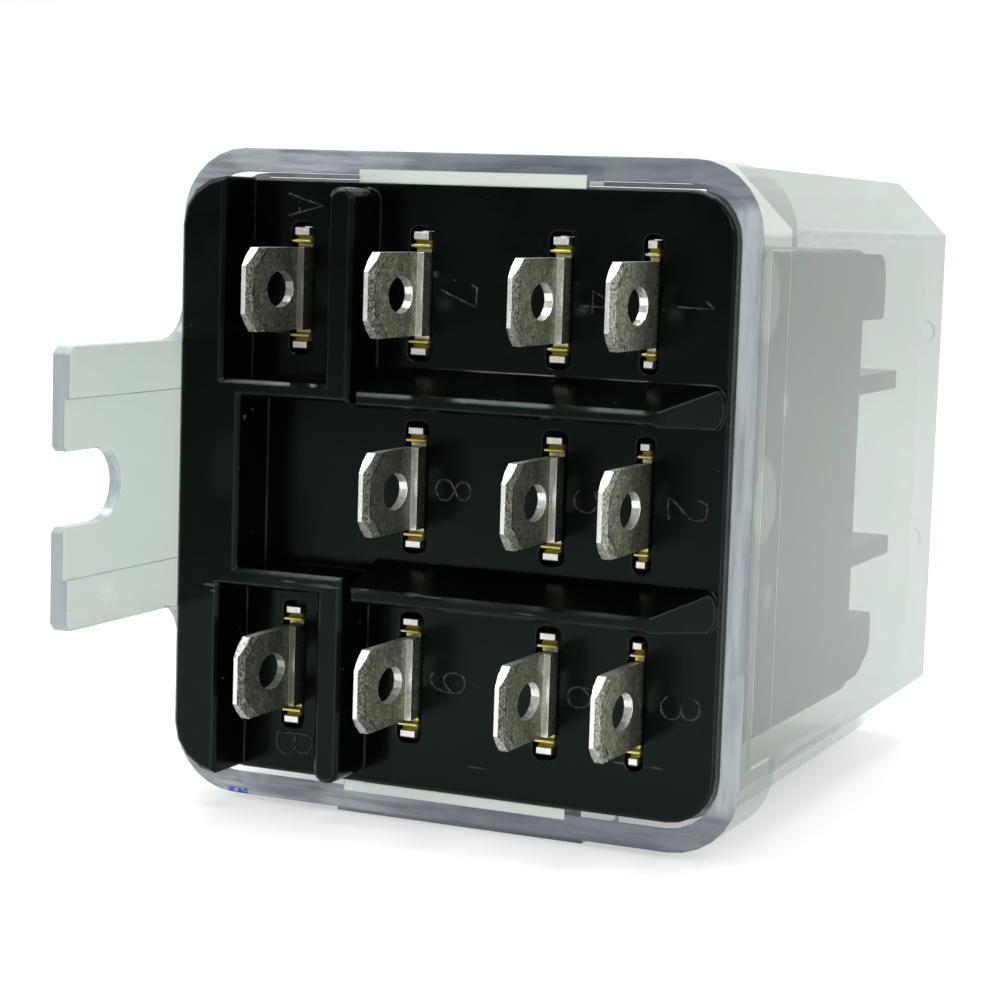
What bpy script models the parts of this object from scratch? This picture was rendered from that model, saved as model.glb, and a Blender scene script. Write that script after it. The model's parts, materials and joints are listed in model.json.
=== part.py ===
"""Plug-in power relay: three changeover poles, eleven blade terminals, clear push-on cover.

Every coordinate below is in millimetres, measured from the middle terminal row and the cover's rim:
X runs across the relay, Y runs from the rim into the cover and Z runs up.
The root empty lifts that point so the relay stands on its lower side, centred on the origin.
"""
import math

import bmesh
import bpy
from mathutils import Matrix, Vector

MM = 0.001
GAP = 0.3
EPS = 0.01

# Moulded base
BASE_X = 16.42
BASE_Z = 17.44
FLANGE_RIGHT = 16.18
FLANGE_BOTTOM = -17.64
BASE_RADIUS = 2.8
BAND_X = -13.58
FLOOR_Y = 0.7
FLANGE_BACK_Y = 2.2
CREST_Y = -2.8
CREST_BEVEL = 0.22
SLOT_RADIUS = 0.45

# Cover
COVER_X = 17.92
COVER_Z = 19.1
COVER_RADIUS = 4.1
COLLAR_DEPTH = 5.9
COVER_DEPTH = 42.0
COVER_STEP = 0.3
COVER_DRAFT = 0.35
BODY_CHAMFER = 3.5
HOLLOW_CHAMFER = 2.8
SIDE_WALL = 1.2
END_WALL = 1.2
PIP_HIGH = 0.7
PIP_LOW = 0.35
SEAT_DEPTH = FLANGE_BACK_Y + GAP
BULGE_Z = 19.5
LATCH_MIN_X = -6.4
LATCH_MAX_X = 7.6
SIDE_PANEL_Z = 14.3

# Mounting ear on the cover
EAR_TIP_Y = -13.5
EAR_HALF_Z = 7.85
EAR_BAND_Z = 5.0
EAR_THICK = 1.08
EAR_THIN = 0.78
EAR_FILLET = 2.4
EAR_SLOT_R = 2.1
EAR_SLOT_END_Y = -7.7

# Terminals
BLADE_T = 0.51
BLADE_W = 4.75
BLADE_TIP_Y = -5.81
TIP_HALF_Z = 1.35
TIP_CUT_Y = 1.2
TIP_CHAMFER_T = 0.13
TIP_CHAMFER_Y = 0.7
HOLE_Y = -1.98
HOLE_RY = 1.55
HOLE_RZ = 1.06
ROOT_HALF_Z = 3.53
STRIP_HALF_Z = 2.25
SHOULDER_Y = 3.3
SHOULDER_HALF_Z = 4.3
DOUBLER_T = 0.4
PRONG_Y = 0.55
HORN_LOW_Z = 2.66
HORN_HIGH_Z = 2.8
HORN_FLARE = 0.14
ROW_Z = (11.1, 0.0, -11.1)
COIL_FACE_X = -10.27
COMMON_FACE_X = -2.59
NO_FACE_X = 6.02
NC_FACE_X = 11.64

# Coil, frame and armature
COIL_X = -3.5
CORE_R = 3.25
POLE_R = 4.6
POLE_Y = 31.4
YOKE_T = 1.5
YOKE_Y = 5.4
YOKE_TOP = 32.0
YOKE_HALF_Z = 7.5
YOKE_LEG_X = -13.2
PIVOT_X = -12.45
ARMATURE_Y = YOKE_TOP + GAP
ARMATURE_T = 1.5
SCREW_X = -6.5
SCREW_Z = 9.9
SPRING_X = -14.75
ANCHOR_Y = 11.2

# Contacts
CONTACT_X = 8.0
CONTACT_R = 1.3
ARM_Y = 35.0
ARM_T = 0.4
NC_PLATE_Y = 37.3
NO_PLATE_Y = 31.9
CHEEK_X = 13.2
CARRIER_X = (1.4, 4.4)
CARRIER_Y = (34.1, 36.4)
RIVET_X = 2.9
RIVET_Z = 5.55

# Where the terminal-face centre sits above the surface the relay rests on
ROOT_POSITION = (0.0, -(EAR_TIP_Y + COVER_DEPTH + PIP_HIGH) / 2, BULGE_Z)

AXIS_TURN = {
    "X": Matrix(((0, 0, 1, 0), (1, 0, 0, 0), (0, 1, 0, 0), (0, 0, 0, 1))),
    "Y": Matrix(((1, 0, 0, 0), (0, 0, 1, 0), (0, 1, 0, 0), (0, 0, 0, 1))),
    "Z": Matrix.Identity(4),
}


def clear_scene():
    """Remove whatever the scene holds."""
    for item in list(bpy.data.objects):
        bpy.data.objects.remove(item, do_unlink=True)


def new_collection(name):
    """Add a collection under the scene's own."""
    collection = bpy.data.collections.new(name)
    bpy.context.scene.collection.children.link(collection)
    return collection


def material(name, colour, roughness, metallic=0.0, transmission=0.0):
    """A Principled material for one kind of stock."""
    made = bpy.data.materials.new(name)
    made.use_nodes = True
    shader = made.node_tree.nodes["Principled BSDF"]
    shader.inputs["Base Color"].default_value = (*colour, 1.0)
    shader.inputs["Roughness"].default_value = roughness
    shader.inputs["Metallic"].default_value = metallic
    shader.inputs["Transmission Weight"].default_value = transmission
    made.diffuse_color = (*colour, 1.0)
    return made


def object_from_bmesh(name, shape):
    """Turn a bmesh into a linked object."""
    bmesh.ops.recalc_face_normals(shape, faces=shape.faces)
    mesh = bpy.data.meshes.new(name)
    shape.to_mesh(mesh)
    shape.free()
    made = bpy.data.objects.new(name, mesh)
    made.parent = ROOT
    WORKSHOP.objects.link(made)
    return made


def add_box(shape, low, high):
    """Add an axis-aligned box to a bmesh."""
    centre = [(a + b) / 2 * MM for a, b in zip(low, high)]
    size = [(b - a) * MM for a, b in zip(low, high)]
    place = Matrix.Translation(centre) @ Matrix.Diagonal((*size, 1.0))
    return bmesh.ops.create_cube(shape, size=1.0, matrix=place)["verts"]


def boxes(name, corner_pairs):
    """One object that holds several separate boxes."""
    shape = bmesh.new()
    for low, high in corner_pairs:
        add_box(shape, low, high)
    return object_from_bmesh(name, shape)


def rounded_block(name, low, high, axis, radius, segments=6, taper=0.0, end_bevel=0.0):
    """A box with four edges rounded, or chamfered by one segment; taper narrows its far end."""
    shape = bmesh.new()
    add_box(shape, low, high)
    along = "XYZ".index(axis)
    edges = [e for e in shape.edges
             if abs(e.verts[0].co[along] - e.verts[1].co[along]) > EPS * MM]
    bmesh.ops.bevel(shape, geom=edges, offset=radius * MM, segments=segments,
                    profile=0.5, affect="EDGES")
    far = high[along] * MM
    if end_bevel:
        rim = [e for e in shape.edges
               if all(abs(v.co[along] - far) < EPS * MM for v in e.verts)]
        bmesh.ops.bevel(shape, geom=rim, offset=end_bevel * MM, segments=2,
                        profile=0.5, affect="EDGES")
    if taper:
        start = low[along] * MM
        for vert in shape.verts:
            share = (vert.co[along] - start) / (far - start)
            for side in {0, 1, 2} - {along}:
                limit = max(abs(low[side]), abs(high[side]))
                vert.co[side] *= 1.0 - share * taper / limit
    return object_from_bmesh(name, shape)


def cylinders(name, centres, radius, low, high, axis="Y", segments=20):
    """One object that holds several equal cylinders along an axis."""
    shape = bmesh.new()
    for across, up in centres:
        made = bmesh.ops.create_cone(shape, cap_ends=True, segments=segments,
                                     radius1=radius * MM, radius2=radius * MM,
                                     depth=(high - low) * MM)
        middle = (low + high) / 2
        place = AXIS_TURN[axis] @ Matrix.Translation((across * MM, up * MM, middle * MM))
        bmesh.ops.transform(shape, matrix=place, verts=made["verts"])
    return object_from_bmesh(name, shape)


def ellipse(centre_a, centre_b, radius_a, radius_b, count=16):
    """Outline points round an ellipse."""
    turns = [2 * math.pi * i / count for i in range(count)]
    return [(centre_a + radius_a * math.cos(t), centre_b + radius_b * math.sin(t))
            for t in turns]


def rounded_outline(corners, steps=4):
    """Replace each corner (a, b, radius) of a polygon by an arc of that radius."""
    points = []
    count = len(corners)
    for i, (a, b, radius) in enumerate(corners):
        here = Vector((a, b))
        if radius == 0:
            points.append((a, b))
            continue
        back = (Vector(corners[i - 1][:2]) - here).normalized()
        ahead = (Vector(corners[(i + 1) % count][:2]) - here).normalized()
        half = back.angle(ahead) / 2
        centre = here + (back + ahead).normalized() * radius / math.sin(half)
        first = here + back * radius / math.tan(half) - centre
        last = here + ahead * radius / math.tan(half) - centre
        sweep = first.angle_signed(last)
        for k in range(steps + 1):
            spoke = Matrix.Rotation(-sweep * k / steps, 2) @ first
            points.append(tuple(centre + spoke))
    return points


def prism(name, outlines, axis, low, high):
    """Extrude flat outlines along an axis.

    An outline is in (Y, Z) for axis X, in (X, Z) for axis Y and in (X, Y) for axis Z.
    The first outline is the outside and any others are holes.
    """
    curve = bpy.data.curves.new(name, "CURVE")
    curve.dimensions = "2D"
    curve.fill_mode = "BOTH"
    curve.extrude = (high - low) / 2 * MM
    for outline in outlines:
        spline = curve.splines.new("POLY")
        spline.points.add(len(outline) - 1)
        for point, (a, b) in zip(spline.points, outline):
            point.co = (a * MM, b * MM, 0.0, 1.0)
        spline.use_cyclic_u = True
    flat = bpy.data.objects.new(name + "_outline", curve)
    WORKSHOP.objects.link(flat)
    bpy.context.view_layer.update()
    evaluated = flat.evaluated_get(bpy.context.evaluated_depsgraph_get())
    mesh = bpy.data.meshes.new_from_object(evaluated)
    shape = bmesh.new()
    shape.from_mesh(mesh)
    bpy.data.objects.remove(flat, do_unlink=True)
    bpy.data.meshes.remove(mesh)
    bmesh.ops.remove_doubles(shape, verts=shape.verts, dist=0.002 * MM)
    place = AXIS_TURN[axis] @ Matrix.Translation((0, 0, (low + high) / 2 * MM))
    bmesh.ops.transform(shape, matrix=place, verts=shape.verts)
    return object_from_bmesh(name, shape)


def turned(name, profile, centre_x, centre_z, steps=24, ring=False):
    """Turn a profile of (radius, y) pairs about an axis parallel to Y."""
    mesh = bpy.data.meshes.new(name)
    links = [(i, i + 1) for i in range(len(profile) - 1)]
    if ring:
        links.append((len(profile) - 1, 0))
    mesh.from_pydata([(r * MM, 0.0, y * MM) for r, y in profile], links, [])
    made = bpy.data.objects.new(name, mesh)
    WORKSHOP.objects.link(made)
    screw = made.modifiers.new("turn", "SCREW")
    screw.axis = "Z"
    screw.steps = steps
    screw.render_steps = steps
    screw.use_merge_vertices = True
    screw.merge_threshold = 0.005 * MM
    bpy.context.view_layer.update()
    evaluated = made.evaluated_get(bpy.context.evaluated_depsgraph_get())
    solid = bpy.data.meshes.new_from_object(evaluated)
    shape = bmesh.new()
    shape.from_mesh(solid)
    bpy.data.objects.remove(made, do_unlink=True)
    bpy.data.meshes.remove(solid)
    bmesh.ops.remove_doubles(shape, verts=shape.verts, dist=0.002 * MM)
    place = Matrix.Translation((centre_x * MM, 0, centre_z * MM)) @ AXIS_TURN["Y"]
    bmesh.ops.transform(shape, matrix=place, verts=shape.verts)
    return object_from_bmesh(name, shape)


def smooth_path(knots, steps):
    """Points along a Catmull-Rom curve through the knots."""
    ends = [knots[0], *knots, knots[-1]]
    points = []
    for i in range(1, len(ends) - 2):
        p0, p1, p2, p3 = (Vector(ends[i + k]) for k in (-1, 0, 1, 2))
        for k in range(steps):
            t = k / steps
            points.append(0.5 * ((2 * p1) + (p2 - p0) * t
                                 + (2 * p0 - 5 * p1 + 4 * p2 - p3) * t * t
                                 + (3 * p1 - p0 - 3 * p2 + p3) * t * t * t))
    points.append(Vector(knots[-1]))
    return points


def wire(name, points, radius):
    """A round wire through the points, as a curve with capped ends."""
    curve = bpy.data.curves.new(name, "CURVE")
    curve.dimensions = "3D"
    curve.bevel_depth = radius * MM
    curve.bevel_resolution = 2
    curve.use_fill_caps = True
    spline = curve.splines.new("POLY")
    spline.points.add(len(points) - 1)
    for knot, point in zip(spline.points, points):
        knot.co = (*(Vector(point) * MM), 1.0)
    made = bpy.data.objects.new(name, curve)
    WORKSHOP.objects.link(made)
    return made


def combine(part, tool, operation):
    """Apply a Boolean with another object, which becomes a hidden tool."""
    step = part.modifiers.new(operation.lower(), "BOOLEAN")
    step.operation = operation
    step.solver = "EXACT"
    step.object = tool
    WORKSHOP.objects.unlink(tool)
    CUTTERS.objects.link(tool)
    tool.hide_render = True
    tool.display_type = "WIRE"
    return part


def cut(part, tool):
    """Take the tool's shape out of the part."""
    return combine(part, tool, "DIFFERENCE")


def fuse(part, tool):
    """Make the tool's shape one body with the part."""
    return combine(part, tool, "UNION")


def finish(part, stock, parent=None):
    """Give a part its material, its place in the model and smooth round faces."""
    part.data.materials.clear()
    part.data.materials.append(stock)
    if part.type == "MESH":
        part.data.shade_smooth()
        part.data.set_sharp_from_angle(angle=math.radians(35))
    WORKSHOP.objects.unlink(part)
    PARTS.objects.link(part)
    holder = parent or ROOT
    part.parent = holder
    if holder is not ROOT:
        part.location = -holder.location
    return part


def bevel_face_edges(part, axis, position, width):
    """Bevel the outline of the face that lies at a position along an axis."""
    along = "XYZ".index(axis)
    shape = bmesh.new()
    shape.from_mesh(part.data)
    rim = [e for e in shape.edges
           if all(abs(v.co[along] - position * MM) < EPS * MM for v in e.verts)
           and len({round(f.normal[along], 2) for f in e.link_faces}) > 1]
    bmesh.ops.bevel(shape, geom=rim, offset=width * MM, segments=1,
                    profile=0.5, affect="EDGES")
    shape.to_mesh(part.data)
    shape.free()
    return part


def terminal_positions():
    """Name, +X face position and height of each terminal."""
    rows = []
    for face_x, names in ((NC_FACE_X, "123"), (NO_FACE_X, "456"), (COMMON_FACE_X, "789")):
        rows += [(name, face_x, z) for name, z in zip(names, ROW_Z)]
    rows += [("A", COIL_FACE_X, ROW_Z[0]), ("B", COIL_FACE_X, ROW_Z[2])]
    return rows


def long_rib(name, crest_z):
    """A rib with one upright side, one sloping side and a nose that runs down to the floor."""
    section = [(FLOOR_Y + 0.5, crest_z - 0.18), (FLOOR_Y, crest_z - 0.15),
               (CREST_Y + CREST_BEVEL, crest_z), (CREST_Y, crest_z + CREST_BEVEL),
               (CREST_Y, crest_z + 0.65), (CREST_Y + 0.2, crest_z + 0.87),
               (FLOOR_Y, crest_z + 2.2), (FLOOR_Y + 0.5, crest_z + 2.4)]
    rib = prism(name, [section], "X", -5.0, 16.6)
    foot = FLOOR_Y + 0.4
    side = rounded_outline([(-5.0 + EPS, foot, 0), (15.9, foot, 0), (15.9, FLOOR_Y - 0.3, 0),
                            (13.2, CREST_Y - EPS, 1.2), (-5.0 + EPS, CREST_Y - EPS, 0.35)])
    combine(rib, prism(name + "_side", [side], "Z", crest_z - 1, crest_z + 4), "INTERSECT")
    middle = crest_z + 1.03
    plan = rounded_outline([(-5.2, middle - 1.5, 0), (15.9, middle - 1.5, 1.1),
                            (15.9, middle + 1.35, 1.1), (-5.2, middle + 1.35, 0)])
    return combine(rib, prism(name + "_plan", [plan], "Y", -4, FLOOR_Y + 1), "INTERSECT")


def base_walls():
    """The wide left band and the walls that part the two coil terminals from the rest."""
    left = -BASE_X + EPS
    top = BASE_Z - EPS
    outline = rounded_outline([
        (left, -top, BASE_RADIUS), (BAND_X, -top, 0), (BAND_X, -6.2, 0), (-7.05, -6.2, 0),
        (-7.05, -17.15, 0.7), (-5.5, -17.15, 0.7), (-5.5, -5.1, 0), (-12.4, -5.1, 0),
        (-12.4, 4.87, 0), (-5.35, 4.87, 0), (-5.35, 17.0, 0.75), (-6.95, 17.0, 0.75),
        (-6.95, 5.85, 0), (BAND_X, 5.85, 0), (BAND_X, top, 0), (left, top, BASE_RADIUS)])
    walls = prism("base_walls", [outline], "Y", CREST_Y, FLOOR_Y + 0.5)
    return bevel_face_edges(walls, "Y", CREST_Y, CREST_BEVEL)


def build_base():
    """The moulded terminal plate with its walls, slots and screw bosses."""
    base = rounded_block("base", (-BASE_X, FLOOR_Y, FLANGE_BOTTOM),
                         (FLANGE_RIGHT, FLANGE_BACK_Y, BASE_Z), "Y", BASE_RADIUS)
    bevel_face_edges(base, "Y", FLOOR_Y, 0.15)
    fuse(base, base_walls())
    fuse(base, long_rib("upper_rib", 4.68))
    fuse(base, long_rib("lower_rib", -6.5))
    screws = [(SCREW_X, SCREW_Z), (SCREW_X, -SCREW_Z)]
    fuse(base, cylinders("bosses", screws, 1.9, 1.0, YOKE_Y - GAP))
    cut(base, cylinders("boss_bores", screws, 0.95, 2.7, YOKE_Y + 1, segments=16))
    for label, face_x, z in terminal_positions():
        cut(base, terminal_slot(label, face_x, z))
    return finish(base, BLACK_PHENOLIC)


def terminal_slot(label, face_x, middle_z):
    """The round-cornered slot that a terminal's root stands in."""
    left = face_x - BLADE_T - GAP
    right = face_x + GAP + (0 if face_x == NC_FACE_X else DOUBLER_T)
    low = middle_z - ROOT_HALF_Z - GAP
    high = middle_z + ROOT_HALF_Z + GAP
    outline = rounded_outline([(left, low, SLOT_RADIUS), (right, low, SLOT_RADIUS),
                               (right, high, SLOT_RADIUS), (left, high, SLOT_RADIUS)], steps=3)
    return prism("slot_" + label, [outline], "Y", FLOOR_Y - 1, FLANGE_BACK_Y + 1)


def ear_outline(half_z, band_only):
    """Side view of the ear, in (Y, Z), with its open slot when the whole ear is drawn."""
    root_y = 1.0
    fillet = []
    for k in range(6):
        turn = math.pi / 2 * k / 5
        fillet.append((-EAR_FILLET + EAR_FILLET * math.sin(turn),
                       half_z + EAR_FILLET - EAR_FILLET * math.cos(turn)))
    upper = [(EAR_TIP_Y + 0.4, half_z), *fillet, (root_y, half_z + EAR_FILLET)]
    if band_only:
        return [(EAR_TIP_Y, EAR_BAND_Z), (EAR_TIP_Y, half_z - 0.4), *upper,
                (root_y, EAR_BAND_Z)]
    slot = []
    centre_y = EAR_SLOT_END_Y - EAR_SLOT_R
    for k in range(13):
        turn = math.pi / 2 - math.pi * k / 12
        slot.append((centre_y + EAR_SLOT_R * math.cos(turn), EAR_SLOT_R * math.sin(turn)))
    lower = [(y, -z) for y, z in upper]
    return [*slot, (EAR_TIP_Y + 0.3, -EAR_SLOT_R), (EAR_TIP_Y, -EAR_SLOT_R - 0.3),
            (EAR_TIP_Y, -half_z + 0.4), *lower, *reversed(upper), (EAR_TIP_Y, half_z - 0.4),
            (EAR_TIP_Y, EAR_SLOT_R + 0.3), (EAR_TIP_Y + 0.3, EAR_SLOT_R)]


def build_cover():
    """The clear cover: round collar, chamfered tapering body, base ledge, latch pockets and ear."""
    cover = rounded_block("cover", (-COVER_X, 0, -COVER_Z), (COVER_X, COLLAR_DEPTH, COVER_Z),
                          "Y", COVER_RADIUS, segments=7)
    body_x = COVER_X - COVER_STEP
    body_z = COVER_Z - COVER_STEP / 2
    fuse(cover, rounded_block("cover_body", (-body_x, 2.0, -body_z),
                              (body_x, COVER_DEPTH, body_z), "Y", BODY_CHAMFER,
                              segments=1, taper=COVER_DRAFT, end_bevel=0.8))
    latch = (LATCH_MIN_X, LATCH_MAX_X)
    fuse(cover, boxes("cover_bulge", [((latch[0] - 0.8, 0.8, -BULGE_Z),
                                       (latch[1] + 0.8, 6.5, -17.9))]))
    fuse(cover, cylinders("end_pip_high", [(15.6, 8.5)], 0.9, COVER_DEPTH - 0.6,
                          COVER_DEPTH + PIP_HIGH, segments=14))
    fuse(cover, cylinders("end_pip_low", [(15.6, -5.8)], 0.7, COVER_DEPTH - 0.6,
                          COVER_DEPTH + PIP_LOW, segments=14))
    ear_x = -COVER_X + EPS
    thin = ear_outline(EAR_HALF_Z, False)
    fuse(cover, prism("ear", [thin], "X", ear_x, ear_x + EAR_THIN))
    upper = ear_outline(EAR_HALF_Z - EPS, True)
    lower = [(y, -z) for y, z in reversed(upper)]
    fuse(cover, prism("ear_band_upper", [upper], "X", ear_x + 0.1, ear_x + EAR_THICK))
    fuse(cover, prism("ear_band_lower", [lower], "X", ear_x + 0.1, ear_x + EAR_THICK))
    cut(cover, rounded_block("cover_mouth", (-BASE_X - GAP, -3, -BASE_Z - GAP),
                             (BASE_X + GAP, SEAT_DEPTH, BASE_Z + GAP), "Y",
                             BASE_RADIUS + GAP))
    inner_x = body_x - SIDE_WALL
    inner_z = body_z - SIDE_WALL - 0.25
    cut(cover, rounded_block("cover_hollow", (-inner_x, 1.0, -inner_z),
                             (inner_x, COVER_DEPTH - END_WALL, inner_z), "Y",
                             HOLLOW_CHAMFER, segments=1, taper=COVER_DRAFT, end_bevel=0.5))
    cut(cover, boxes("latch_mouths", [((latch[0], -1, 16.8), (latch[1], 1.6, 18.05)),
                                      ((latch[0], -1, -18.05), (latch[1], 1.6, -16.8))]))
    cut(cover, boxes("latch_pockets", [
        ((latch[0], 0.9, 16.9), (latch[1], SEAT_DEPTH, 18.6)),
        ((latch[0], 0.9, -18.6), (latch[1], SEAT_DEPTH, -16.9))]))
    bead_y = (EPS, FLOOR_Y - GAP)
    fuse(cover, boxes("snap_beads", [((latch[0] - EPS, bead_y[0], low),
                                      (latch[1] + EPS, bead_y[1], high))
                                     for low, high in ((17.3, 18.1), (-18.1, -17.45))]))
    cut(cover, boxes("side_panel", [((COVER_X - COVER_STEP, 1.6, -SIDE_PANEL_Z),
                                     (COVER_X + 1, COLLAR_DEPTH + 1, SIDE_PANEL_Z))]))
    return finish(cover, CLEAR_PLASTIC)


def prong_outline():
    """One staked prong beside the blade, in (Y, distance from the blade's middle)."""
    notch_y = PRONG_Y + 0.45
    return [(notch_y, BLADE_W / 2), (notch_y, HORN_LOW_Z - 0.08), (PRONG_Y, HORN_LOW_Z),
            (PRONG_Y, HORN_HIGH_Z), (notch_y, 2.96), (PRONG_Y, 3.1),
            (PRONG_Y, ROOT_HALF_Z - 0.08), (PRONG_Y + 0.08, ROOT_HALF_Z)]


def both_sides(side, middle_z):
    """Close an outline by mirroring it about the blade's middle."""
    upper = [(y, middle_z + z) for y, z in side]
    lower = [(y, middle_z - z) for y, z in reversed(side)]
    return upper + lower


def blade_outline(middle_z, end_y):
    """Side view of a terminal, in (Y, Z): blade, split prongs, shoulders and inner strip."""
    half = BLADE_W / 2
    side = [(BLADE_TIP_Y, TIP_HALF_Z), (BLADE_TIP_Y + TIP_CUT_Y, half),
            *prong_outline(), (FLANGE_BACK_Y + GAP, ROOT_HALF_Z),
            (FLANGE_BACK_Y + GAP, SHOULDER_HALF_Z), (SHOULDER_Y, SHOULDER_HALF_Z),
            (SHOULDER_Y, STRIP_HALF_Z), (end_y, STRIP_HALF_Z)]
    return both_sides(side, middle_z)


def doubler_outline(middle_z):
    """Side view of the second layer that backs the blade's root."""
    front = (0.0, BLADE_W / 2)
    return both_sides([front, *prong_outline(), (FLANGE_BACK_Y, ROOT_HALF_Z)], middle_z)


def horn_boxes(left, right, middle_z):
    """The flared lips that staking leaves at the tips of the four horns."""
    corners = []
    for side in (1, -1):
        near = middle_z + side * HORN_LOW_Z
        far = middle_z + side * HORN_HIGH_Z
        corners.append(((left - HORN_FLARE, PRONG_Y - 0.03, min(near, far) + EPS),
                        (right + HORN_FLARE, PRONG_Y + 0.3, max(near, far) - EPS)))
    return corners


def build_terminal(name, face_x, middle_z):
    """One stamped blade terminal with its inner end."""
    ends = {NC_FACE_X: NC_PLATE_Y + 0.5 - EPS, NO_FACE_X: NO_PLATE_Y + 0.5 - EPS,
            COMMON_FACE_X: 4.0, COIL_FACE_X: 5.0}
    end_y = ends[face_x]
    hole = ellipse(HOLE_Y, middle_z, HOLE_RY, HOLE_RZ)
    blade = prism("terminal_" + name, [blade_outline(middle_z, end_y), hole], "X",
                  face_x - BLADE_T, face_x)
    back_x = face_x - BLADE_T
    chamfer = [(back_x + TIP_CHAMFER_T, BLADE_TIP_Y - EPS), (face_x - TIP_CHAMFER_T, BLADE_TIP_Y - EPS),
               (face_x + EPS, BLADE_TIP_Y + TIP_CHAMFER_Y), (face_x + EPS, end_y + 1),
               (back_x - EPS, end_y + 1), (back_x - EPS, BLADE_TIP_Y + TIP_CHAMFER_Y)]
    combine(blade, prism("tip_" + name, [chamfer], "Z", middle_z - 5, middle_z + 5), "INTERSECT")
    if face_x == NC_FACE_X:
        fuse(blade, contact_plate("plate_" + name, CONTACT_X - 1.6, face_x - 0.2,
                                  NC_PLATE_Y, middle_z))
    elif face_x == NO_FACE_X:
        fuse(blade, contact_plate("plate_" + name, face_x - 0.3, CONTACT_X + 2.2,
                                  NO_PLATE_Y, middle_z))
    right = face_x
    if face_x != NC_FACE_X:
        right += DOUBLER_T
        fuse(blade, prism("doubler_" + name, [doubler_outline(middle_z)], "X",
                          face_x - BLADE_T / 2, right))
    fuse(blade, boxes("horns_" + name, horn_boxes(back_x, right, middle_z)))
    return finish(blade, NICKEL)


def contact_plate(name, low_x, high_x, low_y, middle_z):
    """The flat end of a fixed contact strip, with the hole for its contact rivet."""
    half = 2.6
    outline = [(low_x, middle_z - half), (high_x, middle_z - half),
               (high_x, middle_z + half), (low_x, middle_z + half)]
    return prism(name, [outline, ellipse(CONTACT_X, middle_z, 0.7, 0.7, 12)],
                 "Y", low_y, low_y + 0.5)


def build_contact_block():
    """The insulating block that guides the six fixed contact strips and parts the poles."""
    block = rounded_block("contact_block", (4.8, SHOULDER_Y + GAP, -14.2), (15.8, 27.0, 14.2),
                          "Y", 0.6, segments=2)
    fuse(block, boxes("pole_barriers", [((6.6, 26.0, side * RIVET_Z - 0.6),
                                         (15.7, 36.0, side * RIVET_Z + 0.6))
                                        for side in (1, -1)]))
    fuse(block, prism("upper_cheek", [rounded_outline([
        (26.5, 9.7, 0), (32.0, 9.7, 0.5), (32.0, 13.9, 1.6), (26.5, 13.9, 0)])],
        "X", CHEEK_X, 15.8 - EPS))
    fuse(block, prism("lower_cheek", [rounded_outline([
        (26.5, -13.6, 0), (29.5, -13.5, 0.8), (32.2, -12.2, 1.0), (32.2, -9.6, 0.5),
        (26.5, -9.6, 0)])], "X", CHEEK_X, 15.8 - EPS))
    strips = []
    chambers = []
    for z in ROW_Z:
        for face_x in (NO_FACE_X, NC_FACE_X):
            strips.append(((face_x - BLADE_T - GAP, 1.0, z - BLADE_W / 2 - GAP),
                           (face_x + GAP, 29.0, z + BLADE_W / 2 + GAP)))
        chambers.append(((6.8, 12.0, z - 2.5), (10.4, 29.0, z + 2.5)))
    cut(block, boxes("strip_slots", strips))
    cut(block, boxes("pole_chambers", chambers))
    return finish(block, BLACK_PHENOLIC)


def build_coil():
    """Bobbin, winding, outer tape and iron core."""
    bobbin = [(8.0, 7.2), (8.0, 8.2), (4.0, 8.2), (4.0, 29.2), (8.0, 29.2), (8.0, 30.2),
              (CORE_R + GAP, 30.2), (CORE_R + GAP, 7.2)]
    finish(turned("coil_bobbin", bobbin, COIL_X, 0, steps=32, ring=True), BOBBIN_NYLON)
    winding = [(4.3, 8.5), (7.3, 8.5), (7.3, 28.9), (4.3, 28.9)]
    finish(turned("coil_winding", winding, COIL_X, 0, steps=32, ring=True), COPPER)
    tape = [(7.55, 11.5), (7.8, 11.5), (7.8, 25.9), (7.55, 25.9)]
    finish(turned("coil_tape", tape, COIL_X, 0, steps=32, ring=True), TAPE)
    core = [(0, 5.0), (CORE_R, 5.0), (CORE_R, 30.5), (POLE_R, 30.5), (POLE_R, POLE_Y - 0.2),
            (POLE_R - 0.2, POLE_Y), (0, POLE_Y)]
    finish(turned("core", core, COIL_X, 0), STEEL)


def build_yoke():
    """The L-shaped frame, with two screw lugs and the anchor for the return spring."""
    top = YOKE_Y + YOKE_T
    inner = YOKE_LEG_X + YOKE_T
    outline = [(YOKE_LEG_X, YOKE_Y), (3.2, YOKE_Y), (3.2, top), (inner, top),
               (inner, YOKE_TOP), (YOKE_LEG_X, YOKE_TOP)]
    yoke = prism("yoke", [outline], "Z", -YOKE_HALF_Z, YOKE_HALF_Z)
    fuse(yoke, boxes("yoke_lugs", [((SCREW_X - 1.8, YOKE_Y + EPS, -11.5),
                                    (SCREW_X + 1.8, top - EPS, 11.5))]))
    fuse(yoke, boxes("spring_anchor", [((-15.7, ANCHOR_Y, -1.8),
                                        (YOKE_LEG_X + 0.3, ANCHOR_Y + 1.0, 1.8))]))
    cut(yoke, cylinders("core_seat", [(COIL_X, 0)], CORE_R + GAP, 3, 9, segments=24))
    cut(yoke, cylinders("lug_holes", [(SCREW_X, SCREW_Z), (SCREW_X, -SCREW_Z)], 1.0, 3, 9,
                        segments=16))
    cut(yoke, cylinders("anchor_hole", [(SPRING_X, 0)], 0.55, 10, 14, segments=12))
    return finish(yoke, STEEL)


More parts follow.
